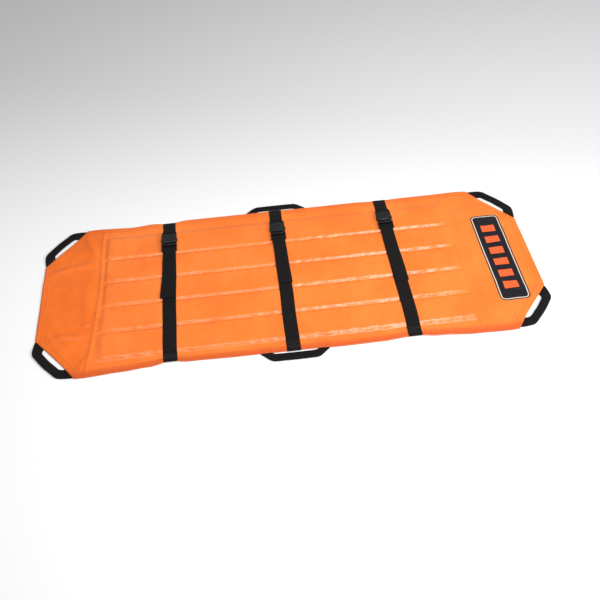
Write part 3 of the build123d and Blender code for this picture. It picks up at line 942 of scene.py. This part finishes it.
def make_strap(strap):
    """One cross strap: its turn in the buckle, standing part, run under the shell and far web."""
    seam = slat_pitch
    center, inner_far, inner_near = "center_strip", "inner_far_strip", "inner_near_strip"
    outer_far, outer_near = "outer_far_strip", "outer_near_strip"
    edge = half_width + web_thickness / 2 + TURN

    turn = strap_line([(seam, tail_mid), (outer_fold - 12, tail_mid), (plug_low[1] - 2, over_bar),
                       (turn_y, over_bar), (turn_y, web_mid), (outer_fold, web_mid),
                       (seam, web_mid)], strap, 2.0)
    back = len(turn) // 2
    turn[:back, 0] += TAIL_DRIFT[strap] * TAIL_START * smooth(plug_low[1], seam, turn[:back, 1])
    strap_piece(f"{strap}_strap_turn", turn, inner_far, outer_far,
                ["outer_far_strap_webs", "inner_far_strap_webs", "inner_far_strap_tails"],
                (outer_fold - 10, outer_fold + 9))

    top = strap_line([(seam, web_mid), (slat_half, web_mid), (inner_fold, web_mid - 0.5),
                      (seam - slat_half, web_mid), (0, web_mid)], strap)
    strap_piece(f"{strap}_strap_far_inner", cut_line(top, 0, seam), center, inner_far,
                ["center_strap_webs", "inner_far_strap_webs"],
                beside(inner_fold, ELASTIC))
    top = strap_line([(0, web_mid), (-slat_half, web_mid), (-inner_fold, web_mid - 0.5),
                      (-seam + slat_half, web_mid), (-seam, web_mid)], strap)
    strap_piece(f"{strap}_strap_near_inner", cut_line(top, -seam, 0), center, inner_near,
                ["center_strap_webs", "inner_near_strap_webs"],
                beside(-inner_fold, -ELASTIC))
    around = strap_line([(-seam, web_mid), (-outer_fold, web_mid - 0.5), (-slat_edge - 3, web_mid),
                         (-slat_edge - 18, hem_mid), (-edge, hem_mid), (-edge, under_mid),
                         (-seam, under_mid)], strap, 2.5)
    strap_piece(f"{strap}_strap_near_outer", around, inner_near, outer_near,
                ["outer_near_strap_webs", "outer_near_under_webs", "inner_near_strap_webs",
                 "inner_near_under_webs"],
                beside(-outer_fold, -ELASTIC))

    below = strap_line([(-seam, under_mid), (0, under_mid), (seam, under_mid)], strap)
    strap_piece(f"{strap}_under_near", cut_line(below, -seam, 0), center, inner_near,
                ["center_under_webs", "inner_near_under_webs"],
                beside(-inner_fold, -UNDER_BEND))
    strap_piece(f"{strap}_under_far", cut_line(below, 0, seam), center, inner_far,
                ["center_under_webs", "inner_far_under_webs"],
                beside(inner_fold, UNDER_BEND))
    around = strap_line([(seam, under_mid), (edge, under_mid), (edge, hem_mid), (lap_y, hem_mid)],
                        strap, 2.5)
    strap_piece(f"{strap}_under_far_edge", around, inner_far, outer_far,
                ["outer_far_under_webs", "inner_far_under_webs"],
                beside(outer_fold, UNDER_BEND))
    far = strap_line([(lap_y, hem_mid), (socket_end + 17, hem_mid), (socket_end + 3, web_mid),
                      (loop_y, web_mid), (loop_y, over_bar + 0.1),
                      (socket_end + 3, over_bar + 0.1), (socket_end + 7, over_bar - 1.0)],
                     strap, 1.5)
    strap_piece(f"{strap}_far_strap", far, outer_far, f"{strap}_socket", [f"{strap}_far_web"],
                (lap_y, socket_end + 3))


def make_tail(strap):
    """The loose tail on top of the standing strap, with its end sewn back on itself."""
    low, high = box_mm(f"{strap}_strap_tail_end")
    end, root = low[1], high[1] - 3.7
    tail = strap_line([(slat_pitch, tail_mid), (inner_fold, tail_mid - 0.2), (root, tail_mid)],
                      strap, 2.5)
    tail[:, 0] += tail_sway(strap, tail[:, 1])
    strap_piece(f"{strap}_tail_middle", tail, "center_strip", "inner_far_strip",
                ["inner_far_strap_tails", "center_strap_webs"], (root, 2 * inner_fold - root))
    hem = tail_mid + web_thickness + 0.15
    tip = strap_line([(root, tail_mid), (end + 12, tail_mid + 0.2), (end + 1, tail_mid + 0.2),
                      (end, (tail_mid + hem) / 2), (end + 1, hem), (end + TAIL_HEM, hem - 0.1)],
                     strap, 1.5)
    tip[:, 0] += tail_sway(strap, tip[:, 1])
    strap_piece(f"{strap}_tail_tip", tip, "center_strip", f"{strap}_tail_end",
                [f"{strap}_strap_tail_end"], (root, root - 6))


# ---- handles ----

# Half a loop from its sewn tab to its middle, as places across the webbing: the inner edge (along
# the root line, out from it), the outer edge, the height of the middle, the thickness.
CORNER_LOOP = [(-64, -44, -112, -44, 0.95, 1.8), (-63, -6, -113, -6, 0.95, 1.8),
               (-61, 2, -112, 3, 1.6, 2.8), (-57, 9, -98, 20, 2.6, 4.8),
               (-53, 13, -81, 38, 3.3, 6.2), (-49, 15, -68, 45, 3.5, 6.8),
               (-40, 16, -52, 46.5, 3.6, 7.0), (0, 18.5, 0, 50, 3.6, 7.0)]
SIDE_LOOP = [(-81, -44, -122, -44, 0.95, 1.8), (-81, -6, -123, -6, 0.95, 1.8),
             (-80, 1.5, -123, 2, 1.6, 2.8), (-76, 5, -108, 15, 2.6, 4.8),
             (-71, 7, -90, 32, 3.3, 6.4), (-67, 7.8, -77, 38, 3.6, 7.0),
             (-55, 8, -60, 38.5, 3.7, 7.2), (0, 8.5, 0, 39, 3.7, 7.2)]

FAR_HANDLE_REACH = (0.6, 0.78)  # the far side's loop: share of its edges' reach


def make_handle(end, side):
    """A loop of folded webbing: a flat tab under the shell at each root, a plump grip between."""
    name = f"{end}_{side}_handle"
    root, along, out = handle_frame(joints[f"{name}_swing"])
    half = np.array(SIDE_LOOP if end == "middle" else CORNER_LOOP, float)
    if name == "middle_far_handle":
        half[:, [1, 3]] *= np.where(half[:, [1, 3]] > 0, FAR_HANDLE_REACH, 1.0)
    other = half[-2::-1] * (-1, 1, -1, 1, 1, 1)
    loop = resample(rounded(np.concatenate([half, other]), 1), 2.5)
    inner, outer = (loop[:, i:i + 1] * along + loop[:, i + 1:i + 2] * out for i in (0, 2))
    line = root * (1, 1, 0) + (inner + outer) / 2
    line[:, 2] = loop[:, 4]
    line[:, 1] += edge_shift(line[:, 0], line[:, 1])
    widths = np.linalg.norm(outer - inner, axis=1)
    sections = [section(width, thick) for width, thick in zip(widths, loop[:, 5])]
    piece = ribbon(name, line, outer - inner, sections, mitred=True)
    piece.data.materials.append(webbing)
    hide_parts(name, f"{side}_handle_tabs")
    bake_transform(piece)


# ---- buckle details ----

COVER_MARGIN = 3.5  # from the socket's sides to its crowned cover
COVER_HALF, COVER_PLACE = 19.5, 23.5  # half the cover's length, its middle from the open end
GRIP_PLACE, GRIP_STEP = -14.5, 3.0  # the cover's two grip lines, from its middle
RIB_PLACE, RIB_STEP = 7.6, 2.6  # the thumb ribs, from the end of a prong
BEAM_PLACE = 36.0  # from the plug's far end to the beam that carries its ridges
BOSS_ROOT = 0.6  # how far a boss reaches into the part under it


def dome(middle, half, rise, aside=(1, 0, 0), ahead=(0, 1, 0), power=5.0, recess=0.0):
    """Vertices and faces of a low crowned boss with a rounded plan, sunk a little at its foot."""
    aside, ahead = np.array(aside, float), np.array(ahead, float)
    up = np.cross(aside, ahead)
    turns = np.linspace(0, 2 * math.pi, 48, endpoint=False)
    plan = [np.sign(f) * np.abs(f) ** (2 / power) for f in (np.cos(turns), np.sin(turns))]
    verts = []
    for ring in (1.0, 1.0, 0.97, 0.90, 0.80, 0.70, 0.66, 0.60, 0.40, 0.15):
        height = rise * (1 - ring ** 5) ** 0.6 - recess * (1 - smooth(0.6, 0.7, ring))
        height = height if verts else -BOSS_ROOT
        for a, b in zip(*plan):
            verts.append(middle + aside * half[0] * ring * a + ahead * half[1] * ring * b
                         + up * height)
    count = len(turns)
    faces = [tuple(range(count))[::-1], tuple(range(len(verts) - count, len(verts)))]
    for start in range(0, len(verts) - count, count):
        for k in range(count):
            m = (k + 1) % count
            faces.append((start + k, start + m, start + count + m, start + count + k))
    return verts, faces


def bosses(name, body, domes):
    """One object of several separate bosses, riding on a body."""
    verts, faces = [], []
    for own_verts, own_faces in domes:
        faces += [tuple(len(verts) + k for k in face) for face in own_faces]
        verts += own_verts
    piece = new_object(name, verts, faces)
    piece.data.materials.append(plastic)
    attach(piece, body)


def make_buckle_details(strap):
    """The socket's crowned cover, ribs on the thumb pads and ridges on the plug's beam."""
    x = strap_x[strap]
    low, high = box_mm(f"{strap}_buckle_socket")
    half = ((high[0] - low[0]) / 2 - COVER_MARGIN, COVER_HALF)
    middle = np.array((x, low[1] + COVER_PLACE, high[2]))
    cover = dome(middle, half, 1.6, recess=0.7)
    grips = [dome(middle + (0, GRIP_PLACE + GRIP_STEP * k, 1.0), (15.0 - 2 * k, 0.8), 0.9, power=3)
             for k in range(2)]
    bosses(f"{strap}_socket_cover", f"{strap}_socket", [cover] + grips)
    for hand, sign in (("left", -1), ("right", 1)):
        low, high = box_mm(f"{strap}_buckle_prong_{hand}")
        face = low[0] if sign < 0 else high[0]
        spots = [np.array((face, high[1] - RIB_PLACE - RIB_STEP * k, (low[2] + high[2]) / 2))
                 for k in range(4)]
        ribs = [dome(spot, (0.75, 2.2), 0.8, aside=(0, sign, 0), ahead=(0, 0, 1), power=3)
                for spot in spots]
        bosses(f"{strap}_thumb_ribs_{hand}", f"{strap}_prong_{hand}", ribs)
    low, high = box_mm(f"{strap}_buckle_plug")
    beam = np.array((x, high[1] - BEAM_PLACE, high[2]))
    ridges = [dome(beam + (0, RIB_STEP * k, 0), (21.0, 0.8), 0.7, power=3) for k in (-1, 0, 1)]
    bosses(f"{strap}_plug_ridges", "outer_far_strip", ridges)


# ---- carried-over parts ----

def dress(node, material, bevel):
    """Give a CAD part its finish, and round its edges a little."""
    part = frame["nodes"][node]
    for material_slot in part.material_slots:
        material_slot.link = "OBJECT"
        material_slot.material = material
    rounding = part.modifiers.new("rounding", "BEVEL")
    rounding.width = bevel
    rounding.segments = 3
    rounding.limit_method = "ANGLE"


make_camera()
make_studio()
webbing = make_webbing_material()
plastic = make_plastic()
wood = make_wood()
make_cloth()
make_cloth_stitches(make_thread("orange_thread", (0.70, 0.13, 0.02, 1)))
make_strap_stitches(make_thread("black_thread", (0.045, 0.04, 0.045, 1)))
for strap in STRAPS:
    make_strap(strap)
    make_tail(strap)
    for part in ("plug", "socket", "prong_left", "prong_right"):
        dress(f"{strap}_buckle_{part}", plastic, 0.0009)
    make_buckle_details(strap)
for end in ("foot", "head", "middle"):
    for side in ("near", "far"):
        make_handle(end, side)
for strip in ("center", "inner_far", "inner_near", "outer_far", "outer_near"):
    dress(f"{strip}_slat", wood, 0.0008)
